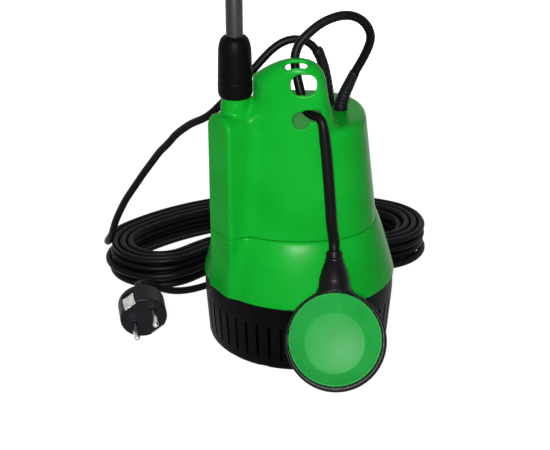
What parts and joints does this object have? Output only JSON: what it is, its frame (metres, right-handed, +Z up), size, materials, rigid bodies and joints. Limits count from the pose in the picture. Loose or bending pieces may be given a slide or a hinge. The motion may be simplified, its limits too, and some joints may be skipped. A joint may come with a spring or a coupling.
{
  "type": "submersible sump pump",
  "caption": "Submersible sump pump: slotted strainer base, two-part motor housing with carrying lug, discharge riser, tethered float switch and coiled mains lead with plug.",
  "frame": {"origin": "middle of the strainer's flat underside, on the floor", "axes": "+Z up along the motor shaft, -Y towards the side with the carrying lug and the float, +X to that side's right"},
  "size_m": [0.3026, 0.3404, 0.292],
  "materials": {
    "green_plastic": "moulded polypropylene, satin to gloss",
    "black_plastic": "moulded, fine satin",
    "seal_rubber": "matt moulded rubber",
    "cable_sheath": "smooth extruded rubber sheath",
    "steel": "plain stainless steel",
    "pin_metal": "nickel plated",
    "grey_tube": "dull drawn tube",
    "cast_alloy": "die cast",
    "laminate": "stacked electrical steel",
    "copper": "enamelled copper wire",
    "white_plastic": "moulded, plain"
  },
  "bodies": {
    "pump": {"strainer_base": "black_plastic", "lower_housing": "green_plastic", "upper_housing": "green_plastic", "housing_seal": "seal_rubber", "base_screw_1": "steel", "base_screw_2": "steel", "base_screw_3": "steel", "base_screw_4": "steel", "housing_screw_1": "steel", "housing_screw_2": "steel", "housing_screw_3": "steel", "housing_screw_4": "steel", "cover_screw_1": "steel", "cover_screw_2": "steel", "cover_screw_3": "steel", "cover_screw_4": "steel", "volute_casing": "black_plastic", "suction_cover": "black_plastic", "motor_flange": "cast_alloy", "shaft_seal": "seal_rubber", "lower_bearing": "steel", "upper_bearing": "steel", "motor_can": "steel", "stator_core": "laminate", "winding_lower": "copper", "winding_upper": "copper", "capacitor": "white_plastic", "hose_connector": "black_plastic", "hose_seal": "seal_rubber", "riser_tube": "grey_tube", "mains_boot": "seal_rubber", "float_boot": "seal_rubber", "float_cable_loop": "cable_sheath", "mains_cord": "cable_sheath", "mains_coil": "cable_sheath", "plug_lead": "cable_sheath", "plug_body": "black_plastic", "plug_pin_1": "pin_metal", "plug_pin_2": "pin_metal", "plug_clip_1": "pin_metal", "plug_clip_2": "pin_metal"},
    "rotor": {"motor_shaft": "steel", "rotor_core": "laminate", "impeller": "white_plastic", "impeller_nut": "steel"},
    "float": {"float_shell": "black_plastic", "float_lid": "green_plastic", "float_collar": "black_plastic", "float_switch_carrier": "white_plastic", "float_cable_drop": "cable_sheath"},
    "ball": {"float_ball": "steel"}
  },
  "joints": [
    {"name": "rotor_spin", "type": "hinge", "parent": "pump", "child": "rotor", "pos_m": [0, 0, 0.05], "axis": [0, 0, 1], "continuous": true},
    {"name": "float_swing", "type": "hinge", "parent": "pump", "child": "float", "pos_m": [0.0139, -0.054, 0.201], "axis": [-1, 0, 0], "range_deg": [0, 110]},
    {"name": "ball_roll", "type": "slide", "parent": "float", "child": "ball", "axis": [0, 0.4848, 0.8746], "range_m": [0, 0.012]}
  ]
}
